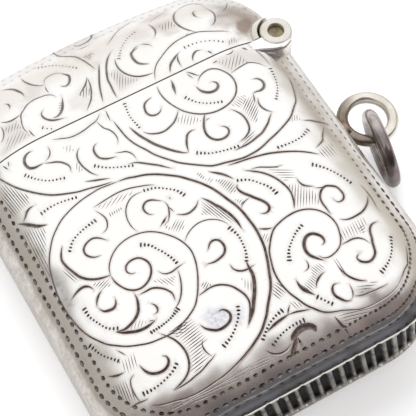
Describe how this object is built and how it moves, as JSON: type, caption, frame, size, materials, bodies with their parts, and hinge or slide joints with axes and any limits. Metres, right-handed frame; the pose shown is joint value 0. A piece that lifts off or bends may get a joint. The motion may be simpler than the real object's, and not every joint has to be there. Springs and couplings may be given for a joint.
{
  "type": "vesta case",
  "caption": "Small flat rounded silver match case with a side-hinged lid, a ribbed striking bar on the base, a fixed side loop with a jump ring, and scroll-engraved faces.",
  "frame": {"origin": "middle of the flat back, the face that the case lies on", "axes": "+X towards the hinge side, +Y towards the lid, +Z out of the engraved front"},
  "size_m": [0.0418, 0.044, 0.0118],
  "materials": {
    "body_silver": "polished silver, engraved",
    "lid_silver": "polished silver, engraved",
    "striker_silver": "worn silver, dark in the grooves",
    "gilt": "gilt silver",
    "hinge_silver": "polished silver",
    "pin_brass": "tarnished",
    "spring_steel": "blued spring steel",
    "loop_silver": "polished silver wire",
    "ring_metal": "darkened wire"
  },
  "bodies": {
    "case": {"body_front": "body_silver", "body_back": "body_silver", "striker_base": "striker_silver", "mouth_rim": "gilt", "hinge_knuckle_front": "hinge_silver", "hinge_knuckle_back": "hinge_silver", "hinge_pin": "pin_brass", "lid_spring": "spring_steel", "spring_rivets": "spring_steel", "suspension_loop": "loop_silver", "loop_foot": "loop_silver"},
    "lid": {"lid_front": "lid_silver", "lid_back": "lid_silver", "lid_bearer": "hinge_silver", "lid_knuckle": "hinge_silver"},
    "ring": {"jump_ring": "ring_metal"}
  },
  "joints": [
    {"name": "lid_hinge", "type": "hinge", "parent": "case", "child": "lid", "pos_m": [0.0165, 0.01115, 0.0059], "axis": [0, 0, -1], "range_deg": [0, 90]},
    {"name": "ring_swing", "type": "hinge", "parent": "case", "child": "ring", "pos_m": [0.02095, 0.0003, 0.0059], "axis": [0, 0, 1], "range_deg": [-8, 185]}
  ]
}
